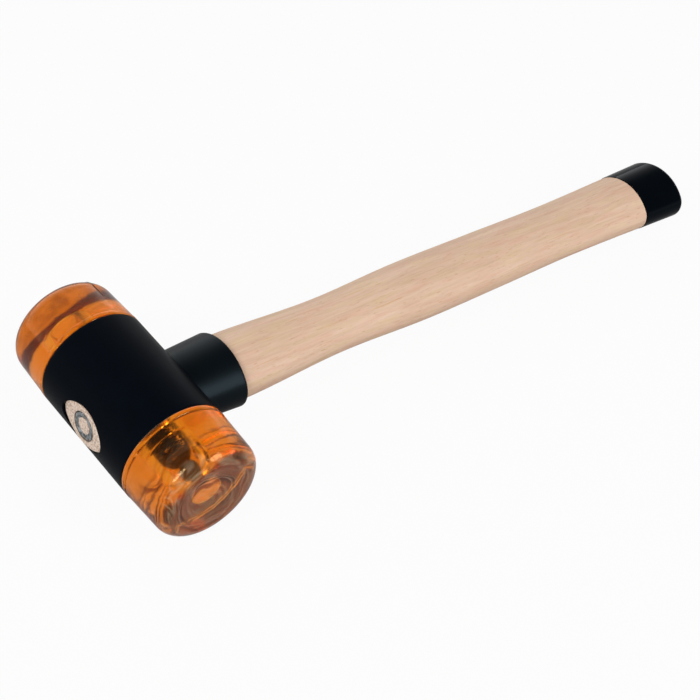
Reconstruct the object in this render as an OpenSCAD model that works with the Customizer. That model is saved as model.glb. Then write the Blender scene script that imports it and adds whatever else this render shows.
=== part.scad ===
// Soft face hammer, lying on its side as it rests on a bench.
// The head's axis is Y, the handle runs towards +X, and Z is up.
// The handle leans down a little, so that the butt touches the bench as the head does.

/* [Head] */
// Diameter of the head bar and of the faces where they meet it
head_d = 50; // [40:0.5:60]
// Length of the head bar between the two faces
head_l = 59; // [54:0.5:80]
// Chamfer round each end of the head bar
head_chamfer = 0.4; // [0.2:0.1:1]
// Width of the eye along the head
eye_w = 27.6; // [22:0.1:28]
// Height of the eye across the head
eye_h = 18.2; // [15:0.1:20]

/* [Faces] */
// Length of each face beyond the head bar
face_l = 27.3; // [22:0.1:40]
// How much smaller in radius the draft makes the face's end
face_draft = 1; // [0.2:0.1:2]
// Radius of the rounded striking edge
face_edge_r = 7; // [3:0.5:9]
// Thickness of the full-width rim at the back of the face
face_rim_l = 2.5; // [1.5:0.1:4]
// Step from the rim to the drafted side
face_rim_step = 0.15; // [0.1:0.05:0.4]
// Free depth of the blind hole beyond the stud's end
face_hole_spare = 9.5; // [1:0.5:12]

/* [Studs] */
// Outer diameter of the stud's thread
stud_d = 14; // [10:0.5:16]
// Pitch of the thread
stud_pitch = 2; // [1:0.25:2.5]
// Depth of the thread's groove
stud_thread_depth = 1.1; // [0.5:0.1:1.3]
// Metal left between the hole for the stud in the head and the eye
stud_floor = 3; // [2:0.5:6]
// Length of the stud inside the face
stud_in_face = 7; // [5:0.5:14.5]

/* [Sleeve] */
// Distance from the head's axis to the sleeve's mouth
sleeve_reach = 45.4; // [38:0.1:60]
// Width of the sleeve's mouth along the head
sleeve_w = 38.7; // [37:0.1:44]
// Height of the sleeve's mouth across the head
sleeve_h = 29.9; // [28:0.1:34]
// How far the sleeve's sides draw in from the mouth to the head
sleeve_taper = 1.2; // [0:0.1:2]
// Wall of the sleeve
sleeve_wall = 2.2; // [1.5:0.1:3]
// Radius of the sleeve's rounded mouth
sleeve_edge_r = 1.4; // [0.6:0.1:1.4]

/* [Handle] */
// Distance from the head's axis to the end of the butt
butt_reach = 334; // [260:1:420]
// Depth of the handle's end below the head's side in the eye
eye_end_depth = 1.25; // [0.5:0.05:3]
// Width of the waist
waist_w = 29.7; // [26:0.1:32]
// Height of the waist
waist_h = 21.7; // [18:0.1:24]
// Width of the belly
belly_w = 33.3; // [28:0.1:36]
// Height of the belly
belly_h = 23.6; // [19:0.1:26]
// Width of the grip under the palm
palm_w = 33; // [28:0.1:36]
// Height of the grip under the palm
palm_h = 23; // [19:0.1:26]
// Width of the neck before the flared butt
neck_w = 32.3; // [27:0.1:36]
// Height of the neck before the flared butt
neck_h = 22.1; // [18:0.1:25]
// Width of the butt
butt_w = 36.7; // [33:0.1:44]
// Height of the butt
butt_h = 25; // [22:0.1:30]

/* [End cap] */
// Length of the cap along the handle
cap_l = 29.3; // [15:0.1:45]
// Wall of the cap
cap_wall = 0.8; // [0.5:0.1:1.5]
// How far the cap stands proud of the wood
cap_proud = 0.2; // [0.1:0.05:0.5]
// Thickness of the cap's closed end
cap_end_wall = 1; // [0.6:0.1:2]
// Radius of the cap's rounded end
cap_edge_r = 3.6; // [2:0.1:6]

/* [Ring wedge] */
// Outer diameter of the ring wedge
wedge_d = 12.8; // [11:0.1:14.5]
// Bore of the ring wedge
wedge_bore = 7.4; // [5:0.1:9]
// Length of the ring wedge
wedge_l = 20; // [12:0.5:24]
// Wall of the ring's leading edge
wedge_tip_wall = 0.8; // [0.5:0.1:2]

/* [Hidden] */

$fn = 96;
// Corners round an oval section
oval_n = 48;
// Steps round a rounded end
round_n = 8;
// Sections along the shoulder and along the grip
shoulder_n = 6;
grip_n = 34;
cap_n = 8;

// Running clearance of a stud in its holes, on the radius
stud_gap = 0.05;
// Free depth below the stud in the head
stud_bottom_gap = 0.5;
// Gap between a face and the head it seats on
seat_gap = 0.05;
// Gap between the handle and the eye, and between the handle and the sleeve
eye_gap = 0.1;
sleeve_gap = 0.2;
// Gap between the sleeve's saddle and the head
saddle_gap = 0.05;
// Gap between the wood and the cap on it
cap_gap = 0.05;
// Gap between the ring wedge and its slot
wedge_gap = 0.02;
// Length by which cuts pass through
overrun = 1;
// Share of the pitch that the flat crest of the thread takes
crest_share = 0.125;
// How far the butt stays above the bench that the head lies on
bench_gap = 0.05;

head_r = head_d / 2;
stud_r = stud_d / 2;

// The stud reaches as deep as the metal beside the eye lets it, and the face's hole follows the stud
stud_hole_l = (head_l - eye_w) / 2 - stud_floor;
stud_in_head = stud_hole_l - stud_bottom_gap;
face_hole_l = stud_in_face + face_hole_spare;

// Handle sections: the shoulder outside the eye, and the throat inside the sleeve
shoulder_gap = 1;
shoulder_l = 6.5;
shoulder_start = head_r + shoulder_gap;
throat_w = sleeve_w - 2 * (sleeve_wall + sleeve_gap);
throat_h = sleeve_h - 2 * (sleeve_wall + sleeve_gap);
tenon_w = eye_w - 2 * eye_gap;
tenon_h = eye_h - 2 * eye_gap;
handle_start = -(head_r - eye_end_depth);
cap_start = butt_reach - cap_l;

// Stations along the grip, from the sleeve's mouth to the butt
grip_station_shares = [0, 0.2, 0.375, 0.55, 0.725, 1];
grip_l = butt_reach - sleeve_reach;
grip_x = [for (s = grip_station_shares) sleeve_reach + s * grip_l];
grip_w = [throat_w, waist_w, belly_w, palm_w, neck_w, butt_w];
grip_h = [throat_h, waist_h, belly_h, palm_h, neck_h, butt_h];

// The handle leans until the cap's lower edge is level with the head's lowest line
contact_x = butt_reach - cap_edge_r;
contact_h = curve_at(contact_x, grip_x, grip_h) / 2 + cap_proud;
lean = asin((head_r - contact_h - bench_gap) / contact_x);

// Middle of the whole hammer along X
reach_x = contact_x * cos(lean) + (contact_h - cap_edge_r) * sin(lean) + cap_edge_r;
centre_x = (reach_x - head_r) / 2;

// Slope of a curve through the points (xs, ys) at point i
function slope(i, xs, ys) =
    let (a = max(i - 1, 0), b = min(i + 1, len(xs) - 1))
    (ys[b] - ys[a]) / (xs[b] - xs[a]);

// Number of the stretch of xs that x lies in
function stretch(x, xs, i = 0) = (i >= len(xs) - 2 || x < xs[i + 1]) ? i : stretch(x, xs, i + 1);

// Smooth curve through the points (xs, ys), level before the first one
function curve_at(x, xs, ys) =
    x <= xs[0] ? ys[0] :
    let (i = stretch(x, xs),
         d = xs[i + 1] - xs[i],
         t = (x - xs[i]) / d,
         m0 = (i == 0 ? 0 : slope(i, xs, ys)) * d,
         m1 = slope(i + 1, xs, ys) * d)
    (1 + 2 * t) * pow(1 - t, 2) * ys[i] + t * pow(1 - t, 2) * m0
    + t * t * (3 - 2 * t) * ys[i + 1] + t * t * (t - 1) * m1;

// Oval of four arcs with half sizes a and b: radius of the end arcs, their centre and the side arcs
function oval_end_r(a, b) = b * b / a;
function oval_end_c(a, b) = a - oval_end_r(a, b);
function oval_side_r(a, b) =
    let (r = oval_end_r(a, b), c = oval_end_c(a, b))
    (b * b + c * c - r * r) / (2 * (b - r));

// Point of that oval where its outward normal stands at angle th
function oval_point(a, b, th) =
    let (r1 = oval_end_r(a, b),
         c = oval_end_c(a, b),
         r2 = oval_side_r(a, b),
         f = asin(abs(sin(th))),
         p = f <= atan2(r2 - b, c)
             ? [c + r1 * cos(f), r1 * sin(f)]
             : [r2 * cos(f), b - r2 + r2 * sin(f)])
    [sign(cos(th)) * p.x, sign(sin(th)) * p.y];

// Ring of points round the handle's axis at x, moved out by grow
function oval_ring(x, w, h, grow = 0) =
    [for (i = [0 : oval_n - 1])
        let (th = 360 * i / oval_n, p = oval_point(w / 2, h / 2, th))
        [x, p.x + grow * cos(th), p.y + grow * sin(th)]];

// How far the sleeve's taper draws its sides in at x
function sleeve_grow(x) = -sleeve_taper * (sleeve_reach - x) / (sleeve_reach - head_r);

// Ring on the tapered sleeve at x, moved out by grow
function sleeve_ring(x, grow = 0) = oval_ring(x, sleeve_w, sleeve_h, sleeve_grow(x) + grow);

// Ring on the grip's surface at x
function grip_ring(x, grow = 0) =
    oval_ring(x, curve_at(x, grip_x, grip_w), curve_at(x, grip_x, grip_h), grow);

// Rings of an end rounded with radius r, from the side to the flat
function rounded_end(x_end, grow, r) =
    [for (i = [0 : round_n])
        let (a = 90 * i / round_n)
        grip_ring(x_end - r * (1 - sin(a)), grow - r * (1 - cos(a)))];

function reversed(v) = [for (i = [len(v) - 1 : -1 : 0]) v[i]];

// Solid skin over a row of rings: capped at both ends, or joined into a loop
module skin(rings, loop = false) {
    n = len(rings[0]);
    m = len(rings);
    last = loop ? m - 1 : m - 2;
    sides = [for (k = [0 : last], i = [0 : n - 1])
        let (a = k * n, b = ((k + 1) % m) * n, j = (i + 1) % n)
        each [[a + i, b + i, a + j], [a + j, b + i, b + j]]];
    caps = loop ? [] : [[for (i = [0 : n - 1]) i], [for (i = [n - 1 : -1 : 0]) (m - 1) * n + i]];
    polyhedron(points = [for (r = rings) each r], faces = concat(sides, caps), convexity = 6);
}

// Puts the hammer over the origin, on the bench
module in_place() {
    translate([-centre_x, 0, head_r]) children();
}

// Leans what belongs to the handle
module along_handle() {
    rotate([0, lean, 0]) children();
}

// Turns a shape made along Z, from the head's end plane outwards, onto one end of the head
module on_end(front) {
    rotate([front ? 90 : -90, 0, 0]) translate([0, 0, head_l / 2]) children();
}

module oval_2d(w, h) {
    polygon([for (i = [0 : oval_n - 1]) oval_point(w / 2, h / 2, 360 * i / oval_n)]);
}

// Eye through the head: the oval's width lies along the head
module eye() {
    along_handle()
    rotate([90, 0, 90])
    linear_extrude(head_d + 2 * overrun, center = true)
    oval_2d(eye_w, eye_h);
}

// Hole for a stud in the head
module stud_hole() {
    translate([0, 0, -stud_hole_l]) cylinder(r = stud_r + stud_gap, h = stud_hole_l + overrun);
}

module head_body() {
    half_l = head_l / 2;
    in_place()
    color([0.03, 0.035, 0.05])
    difference() {
        rotate([90, 0, 0])
        rotate_extrude()
        polygon([
            [0, -half_l], [head_r - head_chamfer, -half_l], [head_r, head_chamfer - half_l],
            [head_r, half_l - head_chamfer], [head_r - head_chamfer, half_l], [0, half_l]
        ]);
        eye();
        for (front = [true, false]) on_end(front) stud_hole();
    }
}

// Half section of a face, from its seat at zero to its striking end
module face_section() {
    end = face_l - seat_gap;
    side_r = head_r - face_rim_step;
    side_l = end - face_rim_l;
    slant = atan2(face_draft, side_l);
    round_y = end - face_edge_r;
    round_x = side_r - (round_y - face_rim_l) * tan(slant) - face_edge_r / cos(slant);
    polygon([
        [0, 0], [head_r - head_chamfer, 0], [head_r, head_chamfer], [head_r, face_rim_l],
        [side_r, face_rim_l],
        [round_x + face_edge_r * cos(slant), round_y + face_edge_r * sin(slant)],
        [round_x, round_y], [round_x, end], [0, end]
    ]);
    translate([round_x, round_y]) circle(face_edge_r);
}

module face(front) {
    in_place()
    color([0.85, 0.42, 0.08, 0.7])
    on_end(front)
    translate([0, 0, seat_gap])
    difference() {
        rotate_extrude() face_section();
        translate([0, 0, -overrun]) cylinder(r = stud_r + stud_gap, h = face_hole_l + overrun);
    }
}

module front_face() {
    face(true);
}

module back_face() {
    face(false);
}

// Stud with its thread drawn as one ring for each pitch
module stud(front) {
    stud_l = stud_in_head + stud_in_face;
    rings = floor((stud_l - 2 * stud_thread_depth) / stud_pitch);
    root_r = stud_r - stud_thread_depth;
    first = (stud_l - rings * stud_pitch) / 2;
    in_place()
    color([0.25, 0.25, 0.27])
    on_end(front)
    translate([0, 0, -stud_in_head])
    rotate_extrude()
    polygon(concat(
        [[0, 0], [root_r, 0], [stud_r, stud_thread_depth]],
        [for (i = [0 : rings - 1])
            let (start = first + i * stud_pitch, crest = crest_share * stud_pitch)
            each [[stud_r, start + crest], [root_r, start + (stud_pitch + crest) / 2],
                  [stud_r, start + stud_pitch]]],
        [[stud_r, stud_l - stud_thread_depth], [root_r, stud_l], [0, stud_l]]
    ));
}

module front_stud() {
    stud(true);
}

module back_stud() {
    stud(false);
}

module handle_sleeve() {
    root = head_r / 2;
    r = sleeve_edge_r;
    lip = sleeve_wall - r;
    mouth = [for (i = [0 : round_n])
        let (a = 90 * i / round_n)
        sleeve_ring(sleeve_reach - r * (1 - sin(a)), -r * (1 - cos(a)))];
    in_place()
    color([0.04, 0.045, 0.055])
    difference() {
        along_handle()
        skin(concat(
            [sleeve_ring(root)],
            mouth,
            [sleeve_ring(sleeve_reach - lip, -sleeve_wall), sleeve_ring(root, -sleeve_wall)]
        ), loop = true);
        rotate([90, 0, 0]) cylinder(r = head_r + saddle_gap, h = head_l, center = true);
    }
}

// Ring wedge along the handle's axis, its thick end at zero
module wedge_ring(gap) {
    bore_r = wedge_bore / 2 - gap;
    rotate([0, 90, 0])
    rotate_extrude()
    polygon([
        [bore_r, -gap], [wedge_d / 2 + gap, -gap],
        [bore_r + wedge_tip_wall + 2 * gap, wedge_l + gap], [bore_r, wedge_l + gap]
    ]);
}

module handle() {
    wood_grow = cap_proud - cap_wall;
    wood_end = butt_reach - cap_end_wall - cap_gap;
    wood_edge_r = cap_edge_r - cap_gap;
    shoulder_grow = sleeve_grow(shoulder_start + shoulder_l);
    shoulder = [for (i = [0 : shoulder_n])
        let (t = i / shoulder_n, s = (1 - cos(180 * t)) / 2)
        oval_ring(shoulder_start + t * shoulder_l,
                  tenon_w + s * (throat_w - tenon_w), tenon_h + s * (throat_h - tenon_h), s * shoulder_grow)];
    grip = [for (i = [0 : grip_n]) grip_ring(sleeve_reach + (cap_start - sleeve_reach) * i / grip_n)];
    seat_l = wood_end - wood_edge_r - cap_start;
    seat = [for (i = [0 : cap_n - 1]) grip_ring(cap_start + seat_l * i / cap_n, wood_grow - cap_gap)];
    in_place()
    along_handle()
    color([0.86, 0.73, 0.62])
    difference() {
        skin(concat(
            [oval_ring(handle_start, tenon_w, tenon_h)],
            shoulder, grip, seat,
            rounded_end(wood_end, wood_grow - cap_gap, wood_edge_r)
        ));
        translate([handle_start, 0, 0]) wedge_ring(wedge_gap);
    }
}

module ring_wedge() {
    in_place()
    along_handle()
    color([0.55, 0.56, 0.57])
    translate([handle_start, 0, 0]) wedge_ring(0);
}

module end_cap() {
    inner_grow = cap_proud - cap_wall;
    side_l = cap_l - cap_edge_r;
    inside_end = butt_reach - cap_end_wall;
    outside = [for (i = [0 : cap_n - 1]) grip_ring(cap_start + side_l * i / cap_n, cap_proud)];
    inside_l = inside_end - cap_edge_r - cap_start;
    inside = [for (i = [0 : cap_n - 1]) grip_ring(cap_start + inside_l * i / cap_n, inner_grow)];
    in_place()
    along_handle()
    color([0.02, 0.025, 0.035])
    skin(concat(
        reversed(concat(inside, rounded_end(inside_end, inner_grow, cap_edge_r))),
        outside,
        rounded_end(butt_reach, cap_proud, cap_edge_r)
    ));
}

head_body();
front_face();
back_face();
front_stud();
back_stud();
handle_sleeve();
handle();
ring_wedge();
end_cap();
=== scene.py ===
import math

import bmesh
import bpy
import numpy as np
from mathutils import Matrix, Vector, noise


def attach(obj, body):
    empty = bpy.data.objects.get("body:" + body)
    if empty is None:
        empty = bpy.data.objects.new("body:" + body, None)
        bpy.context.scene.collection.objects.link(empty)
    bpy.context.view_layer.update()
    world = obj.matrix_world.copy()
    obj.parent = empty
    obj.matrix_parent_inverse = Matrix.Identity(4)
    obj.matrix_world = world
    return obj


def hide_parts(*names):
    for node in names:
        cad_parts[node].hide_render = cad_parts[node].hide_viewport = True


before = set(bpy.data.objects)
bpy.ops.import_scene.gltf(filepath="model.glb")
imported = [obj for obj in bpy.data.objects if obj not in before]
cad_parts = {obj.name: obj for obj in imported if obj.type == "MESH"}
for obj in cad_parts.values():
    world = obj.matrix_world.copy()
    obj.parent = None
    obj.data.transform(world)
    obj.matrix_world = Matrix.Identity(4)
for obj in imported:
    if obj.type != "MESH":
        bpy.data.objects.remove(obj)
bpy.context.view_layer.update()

MM = 0.001

# Sizes in millimetres, the same as in the part's source
HEAD_R = 25.0
HEAD_L = 59.0
HEAD_CHAMFER = 0.4
EYE_W, EYE_H = 27.6, 18.2
FACE_L = 27.3
FACE_DRAFT = 1.0
FACE_EDGE_R = 7.0
FACE_RIM_L = 2.5
FACE_RIM_STEP = 0.15
FACE_HOLE_L = 16.5
SEAT_GAP = 0.05
STUD_R = 7.0
STUD_PITCH = 2.0
STUD_DEPTH = 1.1
STUD_IN_HEAD = 12.2
STUD_IN_FACE = 7.0
STUD_HOLE_L = 12.7
STUD_GAP = 0.05
SLEEVE_REACH = 45.4
SLEEVE_W, SLEEVE_H = 38.7, 29.9
SLEEVE_TAPER = 1.2
SLEEVE_WALL = 2.2
SLEEVE_EDGE_R = 1.4
SLEEVE_GAP = 0.2
SADDLE_GAP = 0.05
BUTT_REACH = 334.0
EYE_END_DEPTH = 1.25
EYE_GAP = 0.1
SHOULDER_START = 26.0
SHOULDER_L = 6.5
CAP_L = 29.3
CAP_WALL = 0.8
CAP_PROUD = 0.2
CAP_END_WALL = 1.0
CAP_EDGE_R = 3.6
CAP_GAP = 0.05
WEDGE_R = 6.4
WEDGE_BORE_R = 3.7
WEDGE_L = 20.0
WEDGE_TIP_WALL = 0.8
WEDGE_GAP = 0.02
BENCH_GAP = 0.05

# Sizes that follow from these
HEAD_END = HEAD_L / 2
HOLE_R = STUD_R + STUD_GAP
THROAT_W = SLEEVE_W - 2 * (SLEEVE_WALL + SLEEVE_GAP)
THROAT_H = SLEEVE_H - 2 * (SLEEVE_WALL + SLEEVE_GAP)
TENON_W = EYE_W - 2 * EYE_GAP
TENON_H = EYE_H - 2 * EYE_GAP
HANDLE_START = EYE_END_DEPTH - HEAD_R
CAP_START = BUTT_REACH - CAP_L

# Places along the grip from the sleeve's mouth to the butt, with its width and height there
GRIP_SHARES = np.array([0, 0.2, 0.375, 0.55, 0.725, 1])
GRIP_X = SLEEVE_REACH + GRIP_SHARES * (BUTT_REACH - SLEEVE_REACH)
GRIP_W = np.array([THROAT_W, 29.7, 33.3, 33.0, 32.3, 36.7])
GRIP_H = np.array([THROAT_H, 21.7, 23.6, 23.0, 22.1, 25.0])

# Small detail that only the scene has, in millimetres and degrees
EYE_EDGE_R = 0.35
EYE_PATCH_ANGLE = 60
HOLE_CHAMFER = 0.4
FACE_MOUTH = 0.5
FACE_FILLET_R = 1.2
LUG_DROP = 0.1
LUG_HALF_ANGLE = 1.6
FRONT_LUGS, BACK_LUGS = (113, 150, 233, 270, 353, 30), (73, 193, 313)
SEAM_HALF_ANGLE = 0.5
FRONT_SEAMS, BACK_SEAMS = (20, 200), (64, 244)
FRONT_SEAM_H, BACK_SEAM_H = 0.1, 0.25
SLOT_EDGE = 0.15
TENON_EDGE = 0.35
CAP_LIP = 0.12

# Grooves behind the faces' rims: the depth, and from the rim's end the places of the rim's
# edge, the groove's floor and the start of the side, each as a first and a last one
FRONT_GROOVE_DEPTH, BACK_GROOVE_DEPTH = 0.5, 0.06
FRONT_GROOVE = (-0.75, -0.65, -0.3, 0.2, 0.5, 0.68)
BACK_GROOVE = (-0.45, -0.35, -0.02, 0.02, 0.32, 0.5)

# Rings of the striking edge, how many of them a seam reaches, and over how many rings past
# the groove the back face's seams rise
EDGE_STEPS, SEAM_EDGE_STEPS, SEAM_RISE_STEPS = 28, 18, 6

# Thread form, in shares of half a pitch: the flat at the root and the flank
THREAD_ROOT = 0.0625
THREAD_FLANK = 0.8125

# Floor: its own grey, and its share of plain white to the camera, through amber and in mirrors
FLOOR_GREY = 0.52
FLOOR_SEEN = 0.95
FLOOR_MIRRORED = 0.1

# Softboxes: azimuth and elevation from the target in degrees, distance, sides and power
LIGHT_TARGET = Vector((-0.05, -0.01, 0.02))
SOFTBOXES = {"softbox_right": (27, 36, 1.5, (0.55, 0.75), 12),
             "softbox_left": (-82, 38, 1.5, (0.4, 0.8), 12)}

# Camera, fitted to the outlines in the photo
CAMERA_SENSOR, CAMERA_LENS = 36, 79.66
CAMERA_PLACE = (-0.421649, -0.342540, 0.497528)
CAMERA_FORWARD = Vector((0.54018, 0.47434, -0.69513))
CAMERA_UP = Vector((0.35314, 0.62200, 0.69887))


# Shape functions

def curve_at(x, xs, ys):
    """Smooth curve through the points (xs, ys), level before the first one."""
    x = np.asarray(x, float)
    last = len(xs) - 1
    slopes = np.array([(ys[min(i + 1, last)] - ys[max(i - 1, 0)])
                       / (xs[min(i + 1, last)] - xs[max(i - 1, 0)]) for i in range(len(xs))])
    slopes[0] = 0
    i = np.clip(np.searchsorted(xs, x, side="right") - 1, 0, last - 1)
    d = xs[i + 1] - xs[i]
    t = np.clip((x - xs[i]) / d, 0, None)
    return ((1 + 2 * t) * (1 - t) ** 2 * ys[i] + t * (1 - t) ** 2 * slopes[i] * d
            + t * t * (3 - 2 * t) * ys[i + 1] + t * t * (t - 1) * slopes[i + 1] * d)


def turns(n):
    """Even angles, n to a turn."""
    return 2 * np.pi * np.arange(n) / n


def oval(w, h, grow, n):
    """Points round an oval of four arcs, moved out by grow, at n even normal angles."""
    a, b = w / 2, h / 2
    th = turns(n)
    r1 = b * b / a
    c = a - r1
    r2 = (b * b + c * c - r1 * r1) / (2 * (b - r1))
    f = np.arcsin(np.clip(np.abs(np.sin(th)), 0, 1))
    end = f <= math.atan2(r2 - b, c)
    p = np.where(end, c + r1 * np.cos(f), r2 * np.cos(f))
    q = np.where(end, r1 * np.sin(f), b - r2 + r2 * np.sin(f))
    return (np.sign(np.cos(th)) * p + grow * np.cos(th),
            np.sign(np.sin(th)) * q + grow * np.sin(th))


def ring(x, w, h, grow=0.0, n=128):
    """Oval ring round the handle's axis; x is one place or one for each point."""
    p, q = oval(w, h, grow, n)
    return np.stack([np.broadcast_to(np.asarray(x, float), p.shape), p, q], 1)


def grip_ring(x, grow=0.0, n=128):
    """Ring of the grip's own oval at x."""
    w, h = float(curve_at(x, GRIP_X, GRIP_W)), float(curve_at(x, GRIP_X, GRIP_H))
    return ring(x, w, h, grow, n)


def circle_ring(x, r, n=128):
    """Round ring about the handle's axis."""
    th = turns(n)
    return np.stack([np.full(n, float(x)), r * np.cos(th), r * np.sin(th)], 1)


def head_ring(y, r, angles, side=1):
    """Ring about the head's axis; r is one radius or one for each angle."""
    return np.stack([side * r * np.cos(angles), np.full(len(angles), float(y)),
                     r * np.sin(angles)], 1)


def sleeve_grow(x):
    """How far the sleeve's taper draws its sides in at x."""
    return -SLEEVE_TAPER * (SLEEVE_REACH - x) / (SLEEVE_REACH - HEAD_R)


def rounded_end(x_end, grow, r, steps=12):
    """Rings of an end rounded with radius r, from the side to the flat."""
    angles = np.linspace(0, math.pi / 2, steps + 1)
    return [grip_ring(x_end - r * (1 - math.sin(a)), grow - r * (1 - math.cos(a)))
            for a in angles]


def shrunk(last, shares):
    """Rings drawn in from a last flat ring towards its middle."""
    middle = last.mean(0)
    return [middle + (last - middle) * s for s in shares]


def arc(cx, cy, r, a0, a1, steps):
    """Points on an arc from angle a0 to a1."""
    angles = np.linspace(a0, a1, steps + 1)
    return [(cx + r * math.cos(a), cy + r * math.sin(a)) for a in angles]


# Where the hammer lies: the head's round side and the butt touch the bench

CONTACT_X = BUTT_REACH - CAP_EDGE_R
CONTACT_H = float(curve_at(CONTACT_X, GRIP_X, GRIP_H)) / 2 + CAP_PROUD
LEAN = math.asin((HEAD_R - CONTACT_H - BENCH_GAP) / CONTACT_X)
REACH_X = CONTACT_X * math.cos(LEAN) + (CONTACT_H - CAP_EDGE_R) * math.sin(LEAN) + CAP_EDGE_R
CENTRE_X = (REACH_X - HEAD_R) / 2
PLACED = np.array(Matrix.Scale(MM, 4) @ Matrix.Translation((-CENTRE_X, 0, HEAD_R))
                  @ Matrix.Rotation(LEAN, 4, "Y"))


# Mesh builders

def loft(rings, loop=False, tips=(False, False)):
    """Points and faces of a skin over closed rings; a tip closes that end with a fan."""
    m, n = len(rings), len(rings[0])
    points = [np.concatenate(rings)]
    faces = []
    i = np.arange(n)
    j = (i + 1) % n
    for k in range(m if loop else m - 1):
        a, b = k * n, ((k + 1) % m) * n
        faces += np.stack([a + i, a + j, b + j, b + i], 1).tolist()
    count = m * n
    for side, k in ((0, 0), (1, m - 1)):
        if tips[side]:
            points.append(rings[k].mean(0)[None])
            a = k * n
            fan = np.stack([a + j, a + i, np.full(n, count)], 1)
            faces += (fan if side == 0 else fan[:, [1, 0, 2]]).tolist()
            count += 1
    return np.concatenate(points), faces


def piece(name, parts, cad_node, material, body="hammer", sharp=35, weld=1e-4):
    """One shown piece from point and face lists in millimetres, placed on its body."""
    mesh = bpy.data.meshes.new(name)
    points, faces, start = [], [], 0
    for p, f in parts:
        points.append(p)
        faces += [[v + start for v in face] for face in f]
        start += len(p)
    placed = np.concatenate(points) @ PLACED[:3, :3].T + PLACED[:3, 3]
    mesh.from_pydata(placed.tolist(), [], faces)
    bm = bmesh.new()
    bm.from_mesh(mesh)
    bmesh.ops.remove_doubles(bm, verts=bm.verts, dist=weld * MM)
    bmesh.ops.recalc_face_normals(bm, faces=bm.faces)
    bm.to_mesh(mesh)
    bm.free()
    mesh.shade_smooth()
    mesh.set_sharp_from_angle(angle=math.radians(sharp))
    mesh.materials.append(material)
    ob = bpy.data.objects.new(name, mesh)
    bpy.context.scene.collection.objects.link(ob)
    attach(ob, body)
    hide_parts(cad_node)


# Node helpers

NONE, FULL = (0, 0, 0), (1, 1, 1)


def new_material(name):
    """A material with its node tree, its shader and its output."""
    m = bpy.data.materials.new(name)
    m.use_nodes = True
    tree = m.node_tree
    tree.nodes.clear()
    out = tree.nodes.new("ShaderNodeOutputMaterial")
    bsdf = tree.nodes.new("ShaderNodeBsdfPrincipled")
    tree.links.new(bsdf.outputs[0], out.inputs["Surface"])
    return m, tree, bsdf, out


def feed(tree, socket, value):
    """Links a socket to an input, or sets a plain value on it."""
    if isinstance(value, bpy.types.NodeSocket):
        tree.links.new(value, socket)
    else:
        socket.default_value = value


def node(tree, kind, inputs=(), **settings):
    """A node with its settings and inputs."""
    made = tree.nodes.new(kind)
    for key, value in settings.items():
        setattr(made, key, value)
    for key, value in dict(inputs).items():
        feed(tree, made.inputs[key], value)
    return made


def ramp(tree, factor, stops):
    """Colour ramp through the stops, each a place and a colour."""
    made = node(tree, "ShaderNodeValToRGB", {"Fac": factor})
    elements = made.color_ramp.elements
    while len(elements) > 1:
        elements.remove(elements[-1])
    for k, (place, colour) in enumerate(stops):
        e = elements[0] if k == 0 else elements.new(place)
        e.position = place
        e.color = colour if len(colour) == 4 else (*colour, 1)
    return made.outputs["Color"]


def place_of(tree, scale=(1, 1, 1), turn=(0, 0, 0), offset=(0, 0, 0)):
    """Coordinates on the piece in millimetres times scale, turned with the handle's lean."""
    coord = node(tree, "ShaderNodeTexCoord")
    straight = node(tree, "ShaderNodeMapping", {
        "Vector": coord.outputs["Object"], "Location": (CENTRE_X * MM, 0, -HEAD_R * MM)})
    level = node(tree, "ShaderNodeMapping", {
        "Vector": straight.outputs[0], "Rotation": (0, -LEAN, 0),
        "Scale": (1 / MM, 1 / MM, 1 / MM)})
    return node(tree, "ShaderNodeMapping", {
        "Vector": level.outputs[0], "Rotation": turn, "Scale": scale,
        "Location": offset}).outputs[0]


def axes_of(tree, vector):
    """The three coordinates of a vector."""
    split = node(tree, "ShaderNodeSeparateXYZ", {"Vector": vector})
    return [split.outputs[k] for k in "XYZ"]


def radius_of(tree, **two):
    """Distance from an axis, from the two coordinates across it."""
    across = node(tree, "ShaderNodeCombineXYZ", two).outputs[0]
    return node(tree, "ShaderNodeVectorMath", {0: across}, operation="LENGTH").outputs["Value"]


def noise_of(tree, vector, scale, detail=2.0, rough=0.5, distortion=0.0):
    return node(tree, "ShaderNodeTexNoise", {
        "Vector": vector, "Scale": scale, "Detail": detail, "Roughness": rough,
        "Distortion": distortion}).outputs["Fac"]


def bump(tree, height, strength, distance, normal=None):
    """Bump of a distance in millimetres, over another normal if one is given."""
    inputs = {"Height": height, "Strength": strength, "Distance": distance * MM}
    if normal is not None:
        inputs["Normal"] = normal
    return node(tree, "ShaderNodeBump", inputs).outputs[0]


def math_of(tree, operation, a, b=0.0):
    return node(tree, "ShaderNodeMath", {0: a, 1: b}, operation=operation).outputs[0]


def away_from(tree, value, place):
    """How far a value is from a place, either way."""
    return math_of(tree, "ABSOLUTE", math_of(tree, "SUBTRACT", value, place))


def mix_of(tree, factor, a, b, blend="MIX"):
    """Colour b over colour a."""
    made = node(tree, "ShaderNodeMix", data_type="RGBA", blend_type=blend)
    for k, value in ((0, factor), (6, a), (7, b)):
        feed(tree, made.inputs[k], value)
    return made.outputs[2]


def to_range(tree, value, low, high, from_low=0.0, from_high=1.0):
    return node(tree, "ShaderNodeMapRange", {
        "Value": value, "From Min": from_low, "From Max": from_high,
        "To Min": low, "To Max": high}).outputs[0]


def grow_from(tree, value, low, high, top=1.0):
    """Smooth step from 0 at low to top at high."""
    return node(tree, "ShaderNodeMapRange", {
        "Value": value, "From Min": low, "From Max": high, "To Max": top},
        interpolation_type="SMOOTHSTEP").outputs[0]


# Materials

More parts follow.
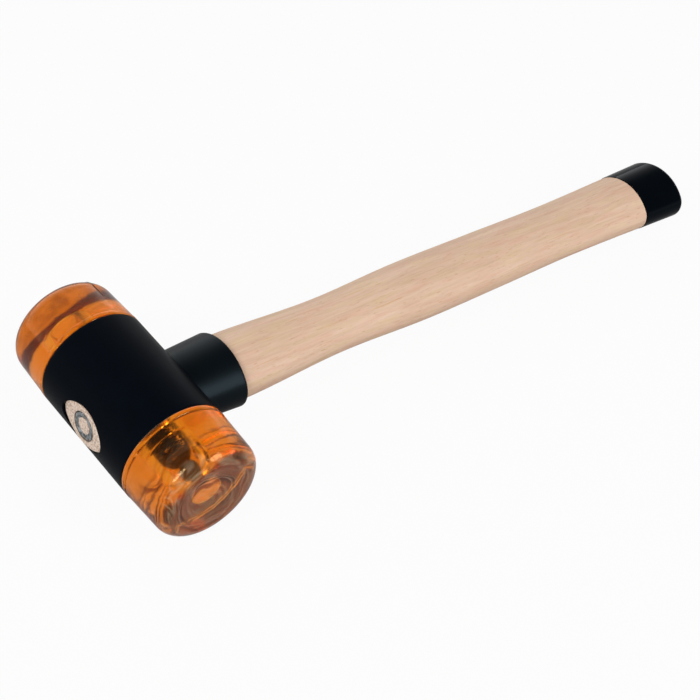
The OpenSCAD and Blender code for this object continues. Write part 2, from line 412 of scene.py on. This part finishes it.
def black_paint(name, colour, rough, specular, grain, bare_beyond=None):
    """Black coating; further than bare_beyond from the head's middle, bare steel."""
    m, t, b, _ = new_material(name)
    v = place_of(t)
    fine = noise_of(t, v, 2.2, 3.0, 0.6)
    broad = noise_of(t, v, 0.12, 2.0)
    paint = ramp(t, broad, [(0.3, colour), (0.7, [c * 1.25 for c in colour])])
    if bare_beyond is not None:
        _, y, _ = axes_of(t, v)
        bare = math_of(t, "GREATER_THAN", math_of(t, "ABSOLUTE", y), bare_beyond)
        metal = ramp(t, fine, [(0.3, (0.30, 0.29, 0.28)), (0.7, (0.42, 0.41, 0.40))])
        paint = mix_of(t, bare, paint, metal)
    t.links.new(paint, b.inputs["Base Color"])
    t.links.new(to_range(t, fine, rough - 0.04, rough + 0.05), b.inputs["Roughness"])
    b.inputs["Specular IOR Level"].default_value = specular
    b.inputs["Specular Tint"].default_value = (0.6, 0.85, 1.0, 1)
    t.links.new(bump(t, fine, 0.35, grain), b.inputs["Normal"])
    return m


def amber():
    """Clear amber plastic with flow lines; the head's middle is at 0 along its axis."""
    m, t, b, out = new_material("amber_plastic")
    # The export reads this value, though the link below takes its place in a render
    b.inputs["Transmission Weight"].default_value = 1.0
    b.inputs["IOR"].default_value = 1.47
    b.inputs["Roughness"].default_value = 0.12
    b.inputs["Specular Tint"].default_value = (1.0, 0.68, 0.32, 1)

    def times(p, q):
        return math_of(t, "MULTIPLY", p, q)

    def plus(p, q):
        return math_of(t, "ADD", p, q)

    v = place_of(t)
    x, y, z = axes_of(t, v)
    radius = radius_of(t, X=x, Z=z)
    far = math_of(t, "ABSOLUTE", y)
    # Flow lines follow shells round the middle of the blind hole, bent by a slow noise
    depth = math_of(t, "SUBTRACT", far, HEAD_END + 8)
    shell = math_of(t, "SQRT", plus(times(radius, radius), times(depth, depth)))
    bend = noise_of(t, place_of(t, offset=(40, 0, 15)), 0.05, 1.0, 0.4)
    flow = plus(shell, times(bend, 9.0))
    sheet = node(t, "ShaderNodeCombineXYZ", {
        "X": flow, "Y": times(x, 0.06), "Z": times(z, 0.06)}).outputs[0]
    broad = noise_of(t, sheet, 0.4, 1.5, 0.5)
    thin = noise_of(t, sheet, 0.7, 1.0, 0.5)
    clear, dark, pale = (0.97, 0.67, 0.32, 1), (0.16, 0.05, 0.015, 1), (1.0, 0.76, 0.50, 1)
    streaks = ramp(t, broad, [(0.36, dark), (0.48, clear), (0.56, clear), (0.66, pale)])
    line = ramp(t, thin, [(0.35, NONE), (0.41, FULL), (0.47, NONE),
                          (0.53, NONE), (0.59, FULL), (0.65, NONE)])
    lined = mix_of(t, line, streaks, pale)
    # They show off the axis and away from the head, and less in the back face
    in_front = to_range(t, math_of(t, "LESS_THAN", y, 0.0), 0.55, 1.0)
    spread = plus(far, times(grow_from(t, x, 0.0, 18.0), 6.0))
    off_axis = times(in_front, grow_from(t, radius, 7.0, 10.5))
    streaked = times(off_axis, grow_from(t, spread, HEAD_END + 6, HEAD_END + 16))
    tip = times(in_front, grow_from(t, far, HEAD_END + 19, HEAD_END + 26))
    # Painted shade: the back face is darkened to a mottled brown in its upper outer part
    upper = times(math_of(t, "GREATER_THAN", y, 0.0),
                  times(grow_from(t, z, -6.0, 6.0), grow_from(t, radius, 9.0, 15.0)))
    outer = times(upper, grow_from(t, far, HEAD_END + 8, HEAD_END + 14))
    back_face_shade = times(outer, to_range(t, noise_of(t, v, 0.12, 2.0), 0.3, 1.0, 0.35, 0.65))
    colour = mix_of(t, back_face_shade, mix_of(t, streaked, clear, lined), (0.32, 0.17, 0.05, 1))
    # Painted shade: the floor of the groove behind the front face's rim is darkened
    off_floor = away_from(t, radius, HEAD_R - FACE_RIM_STEP - FRONT_GROOVE_DEPTH)
    off_groove = away_from(t, far, HEAD_END + SEAT_GAP + FACE_RIM_L - 0.05)
    groove_shade = times(grow_from(t, off_floor, 0.25, 0.1), grow_from(t, off_groove, 0.5, 0.3))
    colour = mix_of(t, times(groove_shade, 0.8), colour, (0.20, 0.055, 0.012, 1))
    t.links.new(colour, b.inputs["Base Color"])
    # The pale lines are a little milky, and so is the moulded end; a milky ring in the hole's end
    # is a painted highlight
    in_line = plus(times(streaked, 0.03), times(tip, 0.13))
    at_end = math_of(t, "LESS_THAN", away_from(t, far, HEAD_END + FACE_HOLE_L), 1.0)
    hole_end_highlight = times(at_end, grow_from(t, away_from(t, radius, STUD_R - 0.6), 0.5, 0.2))
    milk = plus(times(in_line, line), times(tip, 0.03))
    milk = plus(milk, times(hole_end_highlight, 0.5))
    t.links.new(math_of(t, "SUBTRACT", 1.0, milk), b.inputs["Transmission Weight"])
    ripple = bump(t, noise_of(t, v, 0.11, 1.0, 0.4, 1.2), 0.5, 0.3)
    t.links.new(bump(t, times(broad, streaked), 0.6, 0.3, ripple), b.inputs["Normal"])
    volume = node(t, "ShaderNodeVolumeAbsorption", {
        "Color": (0.945, 0.72, 0.10, 1), "Density": 100.0})
    t.links.new(volume.outputs[0], out.inputs["Volume"])
    return m


def steel(name, colour, rough, blotch):
    """Bare steel, mottled by a noise of the scale blotch."""
    m, t, b, _ = new_material(name)
    mottle = noise_of(t, place_of(t), blotch, 4.0, 0.65)
    b.inputs["Metallic"].default_value = 1.0
    tones = [(place, [c * k for c in colour])
             for place, k in ((0.38, 0.35), (0.5, 0.85), (0.6, 1.4))]
    t.links.new(ramp(t, mottle, tones), b.inputs["Base Color"])
    t.links.new(to_range(t, mottle, rough - 0.1, rough + 0.12), b.inputs["Roughness"])
    t.links.new(bump(t, mottle, 0.5, 0.08), b.inputs["Normal"])
    return m


def wood():
    """Ash: planed along the handle, end grain where it is cut in the eye."""
    m, t, b, _ = new_material("ash_wood")
    v = place_of(t)

    def along(scale, offset, *settings):
        return noise_of(t, place_of(t, scale=scale, offset=offset), 1.0, *settings)

    bands = along((0.025, 0.35, 0.35), (0, 0, 0), 2.0, 0.5, 0.6)
    hues = along((0.05, 0.3, 0.3), (5, 1, 9), 2.0, 0.6)
    fibres = along((0.09, 1.5, 1.5), (3, 7, 1), 3.0, 0.65, 0.3)
    flecks = along((0.25, 2.2, 2.2), (11, 2, 5), 1.0)
    streaks = along((0.03, 0.9, 0.9), (2, 9, 4), 1.0)
    plank = ramp(t, bands, [(0.3, (0.655, 0.445, 0.315)), (0.5, (0.70, 0.487, 0.352)),
                            (0.7, (0.735, 0.525, 0.39))])
    hue = ramp(t, hues, [(0.32, (1.0, 0.92, 0.91)), (0.5, FULL), (0.68, (0.985, 1.0, 0.90))])
    tint = ramp(t, fibres, [(0.3, (0.91, 0.89, 0.88)), (0.55, FULL)])
    spot = ramp(t, flecks, [(0.25, (0.84, 0.72, 0.60)), (0.34, FULL)])
    streak = ramp(t, streaks, [(0.24, (0.95, 0.83, 0.70)), (0.31, FULL)])
    for layer in (hue, tint, spot, streak):
        plank = mix_of(t, 1.0, plank, layer, "MULTIPLY")
    # The end grain has pores and year rings, and is darker beside the wedge
    pores = noise_of(t, v, 1.1, 3.0, 0.7)
    rings = noise_of(t, place_of(t, scale=(0.05, 0.09, 0.7), turn=(0.35, 0, 0)), 1.0, 2.0)
    grain = ramp(t, pores, [(0.36, (0.40, 0.29, 0.22)), (0.48, (0.68, 0.525, 0.42)),
                            (0.62, (0.82, 0.69, 0.59))])
    years = ramp(t, rings, [(0.35, (0.86, 0.83, 0.80)), (0.6, FULL)])
    cut = mix_of(t, 1.0, grain, years, "MULTIPLY")
    x, y, z = axes_of(t, v)
    radius = radius_of(t, Y=y, Z=z)
    edges = [away_from(t, radius, r) for r in (WEDGE_BORE_R + 0.9, WEDGE_R)]
    off_wedge_edges = grow_from(t, math_of(t, "MINIMUM", *edges), 0.1, 0.7)
    end_grain = mix_of(t, off_wedge_edges, (0.11, 0.085, 0.07, 1), cut)
    on_cut = math_of(t, "LESS_THAN", x, HANDLE_START + 0.45)
    t.links.new(mix_of(t, on_cut, plank, end_grain), b.inputs["Base Color"])
    t.links.new(to_range(t, fibres, 0.5, 0.68), b.inputs["Roughness"])
    b.inputs["Specular IOR Level"].default_value = 0.35
    t.links.new(bump(t, fibres, 0.3, 0.06), b.inputs["Normal"])
    return m


HEAD_BLACK = black_paint("head_black", (0.0008, 0.0015, 0.0032), rough=0.36, specular=0.036,
                         grain=0.02, bare_beyond=HEAD_END - 0.02)
SLEEVE_BLACK = black_paint("sleeve_black", (0.0014, 0.0026, 0.0038), rough=0.36, specular=0.11,
                           grain=0.02)
CAP_BLACK = black_paint("cap_black", (0.0010, 0.0020, 0.0034), rough=0.09, specular=0.035,
                        grain=0.003)
AMBER = amber()
STUD_STEEL = steel("stud_steel", (0.055, 0.05, 0.045), rough=0.4, blotch=0.9)
WEDGE_STEEL = steel("wedge_steel", (0.38, 0.40, 0.41), rough=0.42, blotch=0.6)
WOOD = wood()


# Head: a turned bar with a rounded oval eye right through it

def head():
    side = 48
    n = 4 * side
    end_y = HEAD_END - HEAD_CHAMFER
    half = math.radians(EYE_PATCH_ANGLE)
    parts = []
    # Each side of the bar is a patch from a rectangle in to the eye, with the eye's soft edge
    y_e, q_e = oval(EYE_W, EYE_H, 0, n)
    y_a, q_a = oval(EYE_W, EYE_H, EYE_EDGE_R, n)
    f_a = np.arcsin(q_a / HEAD_R)
    corner = (np.arange(n) + side // 2) % n
    where, share = corner // side, (corner % side) / side * 2 - 1
    first_three, one = [where == 0, where == 1, where == 2], np.ones(n)
    rect_y = np.select(first_three, [one, -share, -one], share) * end_y
    rect_f = np.select(first_three, [share, one, -share], -one) * half
    mouths = []
    for s in (-1, 1):
        inward = np.array([s * EYE_EDGE_R, 0, 0])
        a = np.stack([s * np.sqrt(HEAD_R ** 2 - q_a ** 2), y_a, q_a], 1)
        e = np.stack([s * np.sqrt(HEAD_R ** 2 - q_e ** 2), y_e, q_e], 1)
        b = e - inward
        rings = []
        # The power sets the rings closer together near the eye
        for u in np.linspace(1, 0, 15) ** 1.5:
            f, y = f_a + (rect_f - f_a) * u, y_a + (rect_y - y_a) * u
            rings.append(np.stack([s * HEAD_R * np.cos(f), y, HEAD_R * np.sin(f)], 1))
        for u in np.linspace(0, 1, 6)[1:]:
            rings.append((1 - u) ** 2 * a + 2 * u * (1 - u) * e + u * u * b)
        rings.append(b - inward)
        mouths.append(rings[-1])
        parts.append(loft(rings))
    parts.append(loft(mouths))
    # The top and the bottom between the two patches
    ys = np.linspace(-1, 1, side + 1) * end_y
    fs = np.linspace(half, math.pi - half, side // 2 + 1)
    rows, cols = len(fs), len(ys)
    i, j = np.meshgrid(np.arange(rows - 1), np.arange(cols - 1), indexing="ij")
    c = (i * cols + j).ravel()
    quads = np.stack([c, c + 1, c + cols + 1, c + cols], 1).tolist()
    for s in (-1, 1):
        grid = [(-HEAD_R * math.cos(f), y, s * HEAD_R * math.sin(f)) for f in fs for y in ys]
        parts.append((np.array(grid), quads))
    # The ends with the holes for the studs
    step = 2 * half / side
    angles = np.arange(int(round(2 * math.pi / step))) * step
    profile = [(HEAD_R, end_y)]
    profile += arc(HEAD_R - HEAD_CHAMFER, end_y, HEAD_CHAMFER, 0, math.pi / 2, 5)[1:]
    profile += [(HEAD_R - 1, HEAD_END), (HOLE_R + 1, HEAD_END), (HOLE_R + HOLE_CHAMFER, HEAD_END),
                (HOLE_R, HEAD_END - HOLE_CHAMFER), (HOLE_R, HEAD_END - STUD_HOLE_L)]
    for s in (-1, 1):
        rings = [head_ring(s * y, r, angles, -1) for r, y in profile]
        parts.append(loft(rings, tips=(False, True)))
    piece("head", parts, "head_body", HEAD_BLACK, weld=1e-3)


# Faces: turned amber plastic with a rim, a slight draft, a rounded edge and a blind hole

def face(name, cad_node, front):
    end = FACE_L - SEAT_GAP
    side_r = HEAD_R - FACE_RIM_STEP
    slant = math.atan2(FACE_DRAFT, end - FACE_RIM_L)

    def side_at(y):
        return side_r - (y - FACE_RIM_L) * math.tan(slant)

    # The profile goes from the hole's end out through its mouth, and over the side to the end;
    # rings close to an edge keep the flats beside it even
    fillet = FACE_FILLET_R
    profile = [(0.6, FACE_HOLE_L), (HOLE_R - fillet - 0.4, FACE_HOLE_L)]
    profile += arc(HOLE_R - fillet, FACE_HOLE_L - fillet, fillet, math.pi / 2, 0, 8)
    profile += [(HOLE_R, FACE_HOLE_L - fillet - 0.4), (HOLE_R, 1.0), (HOLE_R, FACE_MOUTH),
                (HOLE_R + FACE_MOUTH, 0), (HOLE_R + 1, 0), (HEAD_R - HEAD_CHAMFER - 0.5, 0)]
    profile += arc(HEAD_R - HEAD_CHAMFER, HEAD_CHAMFER, HEAD_CHAMFER, -math.pi / 2, 0, 4)
    rim_end, rim_edge, floor_start, floor_end, side_start, side_in = [
        FACE_RIM_L + s for s in (FRONT_GROOVE if front else BACK_GROOVE)]
    rim = len(profile)
    profile += [(HEAD_R, rim_end), (HEAD_R - 0.03, rim_edge)]
    groove = len(profile)
    floor_r = side_r - (FRONT_GROOVE_DEPTH if front else BACK_GROOVE_DEPTH)
    profile += [(floor_r, floor_start), (floor_r, floor_end)]
    round_y = end - FACE_EDGE_R
    round_x = side_at(round_y) - FACE_EDGE_R / math.cos(slant)
    side_ys = (side_start, side_in, *np.linspace(FACE_RIM_L + 3, round_y - 0.5, 6))
    profile += [(side_at(y), y) for y in side_ys]
    edge = len(profile)
    profile += arc(round_x, round_y, FACE_EDGE_R, slant, math.pi / 2, EDGE_STEPS)
    profile += [(round_x * s, end) for s in (0.97, 0.8, 0.6, 0.4, 0.2, 0.05)]
    n = 384
    outward = -1 if front else 1
    rings = [head_ring(outward * (HEAD_END + SEAT_GAP + y), r, turns(n)) for r, y in profile]
    around = 360 * np.arange(n) / n

    def near_angles(angles, half_angle):
        gap = np.min([np.abs((around - a + 180) % 360 - 180) for a in angles], 0)
        return np.clip(1.5 - gap / half_angle, 0, 1)

    # Small lugs bridge the groove, and the mould's seams run along the side
    lugs = near_angles(FRONT_LUGS if front else BACK_LUGS, LUG_HALF_ANGLE)
    for k in (groove, groove + 1):
        rings[k][:, [0, 2]] *= (1 + lugs * (HEAD_R - LUG_DROP - floor_r) / floor_r)[:, None]
    seam = near_angles(FRONT_SEAMS if front else BACK_SEAMS, SEAM_HALF_ANGLE)
    for k in range(rim, edge + SEAM_EDGE_STEPS):
        grown = min(max((k - groove - 1) / SEAM_RISE_STEPS, 0), 1)
        height = FRONT_SEAM_H if front else BACK_SEAM_H * grown
        rings[k][:, [0, 2]] *= (1 + seam * height / HEAD_R)[:, None]
    piece(name, [loft(rings, tips=(True, True))], cad_node, AMBER,
          body=cad_node, sharp=50)


# Studs with a right-hand thread

def stud(name, cad_node, front):
    length = STUD_IN_HEAD + STUD_IN_FACE
    n, steps = 64, 12
    th = turns(n)
    outward = -1 if front else 1
    root = STUD_R - STUD_DEPTH
    rings = []
    for z in np.arange(0, length + 1e-6, STUD_PITCH / steps):
        turn = (z / STUD_PITCH - th / (2 * np.pi)) % 1.0
        tooth = np.clip((np.abs(turn - 0.5) * 2 - THREAD_ROOT) / THREAD_FLANK, 0, 1)
        r = np.minimum(root + STUD_DEPTH * tooth, root + min(z, length - z))
        rings.append(head_ring(outward * (HEAD_END - STUD_IN_HEAD + z), r, th, -outward))
    piece(name, [loft(rings, tips=(True, True))], cad_node, STUD_STEEL,
          body=cad_node, sharp=28)


# Sleeve: an oval tube with a rounded mouth, cut to a saddle on the head

def sleeve():
    n = 160

    def tapered(x, grow=0.0):
        return ring(x, SLEEVE_W, SLEEVE_H, sleeve_grow(np.asarray(x)) + grow, n)

    def on_saddle(grow):
        x = np.full(n, HEAD_R)
        for _ in range(8):
            x = np.sqrt((HEAD_R + SADDLE_GAP) ** 2 - tapered(x, grow)[:, 2] ** 2)
        return x

    root, root_in = on_saddle(0), on_saddle(-SLEEVE_WALL)
    straight = SLEEVE_REACH - SLEEVE_EDGE_R
    rings = [tapered(root + (straight - root) * u) for u in (0, 0.02, 0.25, 0.5, 0.75, 0.98)]
    for a in np.linspace(0, math.pi / 2, 11):
        rings.append(tapered(SLEEVE_REACH - SLEEVE_EDGE_R * (1 - math.sin(a)),
                             -SLEEVE_EDGE_R * (1 - math.cos(a))))
    lip = SLEEVE_WALL - SLEEVE_EDGE_R
    for a in np.linspace(0, math.pi / 2, 7)[1:]:
        rings.append(tapered(SLEEVE_REACH - lip * (1 - math.cos(a)),
                             -SLEEVE_EDGE_R - lip * math.sin(a)))
    rings.append(tapered(SLEEVE_REACH - lip - 0.5, -SLEEVE_WALL))
    rings.append(tapered(root_in, -SLEEVE_WALL))
    piece("sleeve", [loft(rings, loop=True)], "handle_sleeve", SLEEVE_BLACK)


# Handle: ash, with the slot that the ring wedge opens in its end grain

def handle():
    x0 = HANDLE_START
    slot_out, slot_in = WEDGE_R + WEDGE_GAP, WEDGE_BORE_R - WEDGE_GAP
    tip_out = slot_in + WEDGE_TIP_WALL + 2 * WEDGE_GAP
    slot_end = x0 + WEDGE_L + WEDGE_GAP
    rings = [circle_ring(x0, slot_in * s) for s in (0.1, 0.5, 0.9)]
    rings += [circle_ring(x0 + SLOT_EDGE, slot_in), circle_ring(slot_end, slot_in),
              circle_ring(slot_end, tip_out), circle_ring(x0 + SLOT_EDGE, slot_out),
              circle_ring(x0, slot_out + SLOT_EDGE)]
    inner, outer = rings[-1], ring(x0, TENON_W, TENON_H, -TENON_EDGE)
    rings += [inner + (outer - inner) * u for u in (0.25, 0.5, 0.75, 1.0)]
    rings += [ring(x0 + 0.1, TENON_W, TENON_H, -0.1), ring(x0 + TENON_EDGE, TENON_W, TENON_H),
              ring(x0 + 1, TENON_W, TENON_H)]
    # The shoulder widens from the tenon in the eye to the throat in the sleeve
    shoulder_grow = sleeve_grow(SHOULDER_START + SHOULDER_L)
    for u in np.linspace(0, 1, 13):
        s = (1 - math.cos(math.pi * u)) / 2
        rings.append(ring(SHOULDER_START + u * SHOULDER_L, TENON_W + s * (THROAT_W - TENON_W),
                          TENON_H + s * (THROAT_H - TENON_H), s * shoulder_grow))
    rings += [grip_ring(SLEEVE_REACH - x, sleeve_grow(SLEEVE_REACH - x)) for x in (6, 2)]
    rings += [grip_ring(x) for x in np.linspace(SLEEVE_REACH, CAP_START - 0.3, 150)]
    rings += [grip_ring(CAP_START - 0.1, -0.03), grip_ring(CAP_START, -CAP_LIP)]
    # The butt under the cap
    grow = CAP_PROUD - CAP_WALL - CAP_GAP
    wood_end = BUTT_REACH - CAP_END_WALL - CAP_GAP
    edge_r = CAP_EDGE_R - CAP_GAP
    rings += [grip_ring(x, grow) for x in np.linspace(CAP_START, wood_end - edge_r - 0.1, 8)]
    rings += rounded_end(wood_end, grow, edge_r)
    rings += shrunk(rings[-1], (0.96, 0.6, 0.2))
    piece("handle_wood", [loft(rings, tips=(True, True))], "handle", WOOD)


# Ring wedge, driven flush with the wood

def wedge():
    n = 160
    th = turns(n)

    def rough(k, size, seed):
        """Wandering of an edge round the ring, finer with a larger k."""
        return size * np.array([noise.noise(Vector((k * math.cos(a), k * math.sin(a), seed)))
                                for a in th])

    def dent(r, a):
        """Depth of the hammered dents at a point of the ring's end, as a share."""
        p, q = r * math.cos(a), r * math.sin(a)
        coarse = noise.noise(Vector((p * 0.6, q * 0.6, 4.0)))
        return max(0.0, coarse + 0.5 * noise.noise(Vector((p * 1.6, q * 1.6, 9.0))))

    worn_in = np.clip(0.3 + rough(1.7, 1.1, 3.1) + rough(5.0, 0.5, 8.2), 0, 0.9)
    worn_out = np.clip(0.2 + rough(1.5, 0.7, 5.7) + rough(5.5, 0.4, 1.3), 0, 0.8)
    inner = WEDGE_BORE_R + 0.05 + 0.75 * np.sin(th) ** 2 + worn_in
    outer = WEDGE_R - 0.1 - worn_out
    rings = [circle_ring(HANDLE_START + 0.5, WEDGE_BORE_R, n)]
    for share, depth in ((0, 0.22), (0.04, 0.06), (0.3, 0.0), (0.5, 0.0), (0.7, 0.0),
                         (0.96, 0.06), (1, 0.22)):
        r = inner + (outer - inner) * share
        dents = np.array([dent(p, a) for p, a in zip(r, th)])
        rings.append(np.stack([HANDLE_START + depth + 0.16 * dents,
                               r * np.cos(th), r * np.sin(th)], 1))
    rings += [circle_ring(HANDLE_START + 0.5, WEDGE_R - 0.05, n),
              circle_ring(HANDLE_START + WEDGE_L, WEDGE_BORE_R + WEDGE_TIP_WALL, n),
              circle_ring(HANDLE_START + WEDGE_L, WEDGE_BORE_R, n)]
    piece("wedge", [loft(rings, loop=True)], "ring_wedge", WEDGE_STEEL)


# End cap: a thin cup over the butt

def cap():
    grow = CAP_PROUD - CAP_WALL
    inside_end = BUTT_REACH - CAP_END_WALL
    inside_xs = np.linspace(CAP_START, inside_end - CAP_EDGE_R - 0.1, 8)
    inside = [grip_ring(x, grow) for x in inside_xs]
    inside += rounded_end(inside_end, grow, CAP_EDGE_R)
    inside += shrunk(inside[-1], (0.96, 0.5, 0.1))
    outside_xs = np.linspace(CAP_START + 0.5, BUTT_REACH - CAP_EDGE_R - 0.1, 24)
    outside = [grip_ring(CAP_START, CAP_PROUD - CAP_LIP),
               grip_ring(CAP_START + CAP_LIP, CAP_PROUD)]
    outside += [grip_ring(x, CAP_PROUD) for x in outside_xs]
    outside += rounded_end(BUTT_REACH, CAP_PROUD, CAP_EDGE_R, 16)
    outside += shrunk(outside[-1], (0.97, 0.7, 0.4, 0.1))
    skin = loft(inside[::-1] + outside, tips=(True, True))
    piece("cap", [skin], "end_cap", CAP_BLACK)


head()
face("amber_front", "front_face", True)
face("amber_back", "back_face", False)
stud("stud_front", "front_stud", True)
stud("stud_back", "back_stud", False)
sleeve()
handle()
wedge()
cap()


# Light, floor and camera

def surroundings(scene):
    """A grey studio, white near the horizon and behind the object."""
    world = bpy.data.worlds.new("studio")
    scene.world = world
    world.use_nodes = True
    t = world.node_tree
    t.nodes.clear()
    coord = node(t, "ShaderNodeTexCoord")
    _, y, z = axes_of(t, coord.outputs["Generated"])
    sky = ramp(t, z, [(0.0, FULL), (0.1, (0.85, 0.85, 0.85)), (0.3, (0.24, 0.24, 0.24)),
                      (1.0, (0.2, 0.2, 0.2))])
    behind = grow_from(t, y, 0.4, 0.85, top=1.15)
    lit = node(t, "ShaderNodeBackground", {
        "Color": (1, 1, 1, 1), "Strength": math_of(t, "ADD", sky, behind)})
    node(t, "ShaderNodeOutputWorld", {"Surface": lit.outputs[0]})


def white_floor():
    bpy.ops.mesh.primitive_circle_add(vertices=96, radius=12, fill_type="NGON",
                                      location=(0, 0, 0))
    floor = bpy.context.object
    floor.name = "floor"
    m, t, b, out = new_material("floor_white")
    b.inputs["Base Color"].default_value = (FLOOR_GREY, FLOOR_GREY, FLOOR_GREY, 1)
    b.inputs["Roughness"].default_value = 0.9
    b.inputs["Specular IOR Level"].default_value = 0.1
    glow = node(t, "ShaderNodeEmission", {"Color": (1, 1, 1, 1), "Strength": 1.0})
    path = node(t, "ShaderNodeLightPath").outputs
    seen = math_of(t, "MAXIMUM", path["Is Camera Ray"], path["Is Transmission Ray"])
    share = math_of(t, "MAXIMUM", math_of(t, "MULTIPLY", seen, FLOOR_SEEN),
                    math_of(t, "MULTIPLY", path["Is Glossy Ray"], FLOOR_MIRRORED))
    mix = node(t, "ShaderNodeMixShader", {0: share, 1: b.outputs[0], 2: glow.outputs[0]})
    t.links.new(mix.outputs[0], out.inputs["Surface"])
    floor.data.materials.append(m)


def softboxes(scene):
    for name, (azimuth, elevation, distance, sides, power) in SOFTBOXES.items():
        light = bpy.data.lights.new(name, "AREA")
        light.shape = "RECTANGLE"
        light.size, light.size_y = sides
        light.energy = power
        ob = bpy.data.objects.new(name, light)
        scene.collection.objects.link(ob)
        a, e = math.radians(azimuth), math.radians(elevation)
        back = Vector((math.sin(a) * math.cos(e), -math.cos(a) * math.cos(e), math.sin(e)))
        ob.location = LIGHT_TARGET + back * distance
        ob.rotation_euler = (-back).to_track_quat("-Z", "Y").to_euler()


def photo_camera(scene):
    camera = bpy.data.cameras.new("camera")
    camera.sensor_width = CAMERA_SENSOR
    camera.lens = CAMERA_LENS
    camera.clip_start, camera.clip_end = 0.01, 50
    ob = bpy.data.objects.new("camera", camera)
    scene.collection.objects.link(ob)
    forward = CAMERA_FORWARD.normalized()
    right = forward.cross(CAMERA_UP).normalized()
    up = right.cross(forward)
    turned = Matrix((right, up, -forward)).transposed().to_4x4()
    ob.matrix_world = Matrix.Translation(CAMERA_PLACE) @ turned
    scene.camera = ob


def studio():
    scene = bpy.context.scene
    scene.view_settings.view_transform = "Standard"
    surroundings(scene)
    white_floor()
    softboxes(scene)
    photo_camera(scene)


studio()
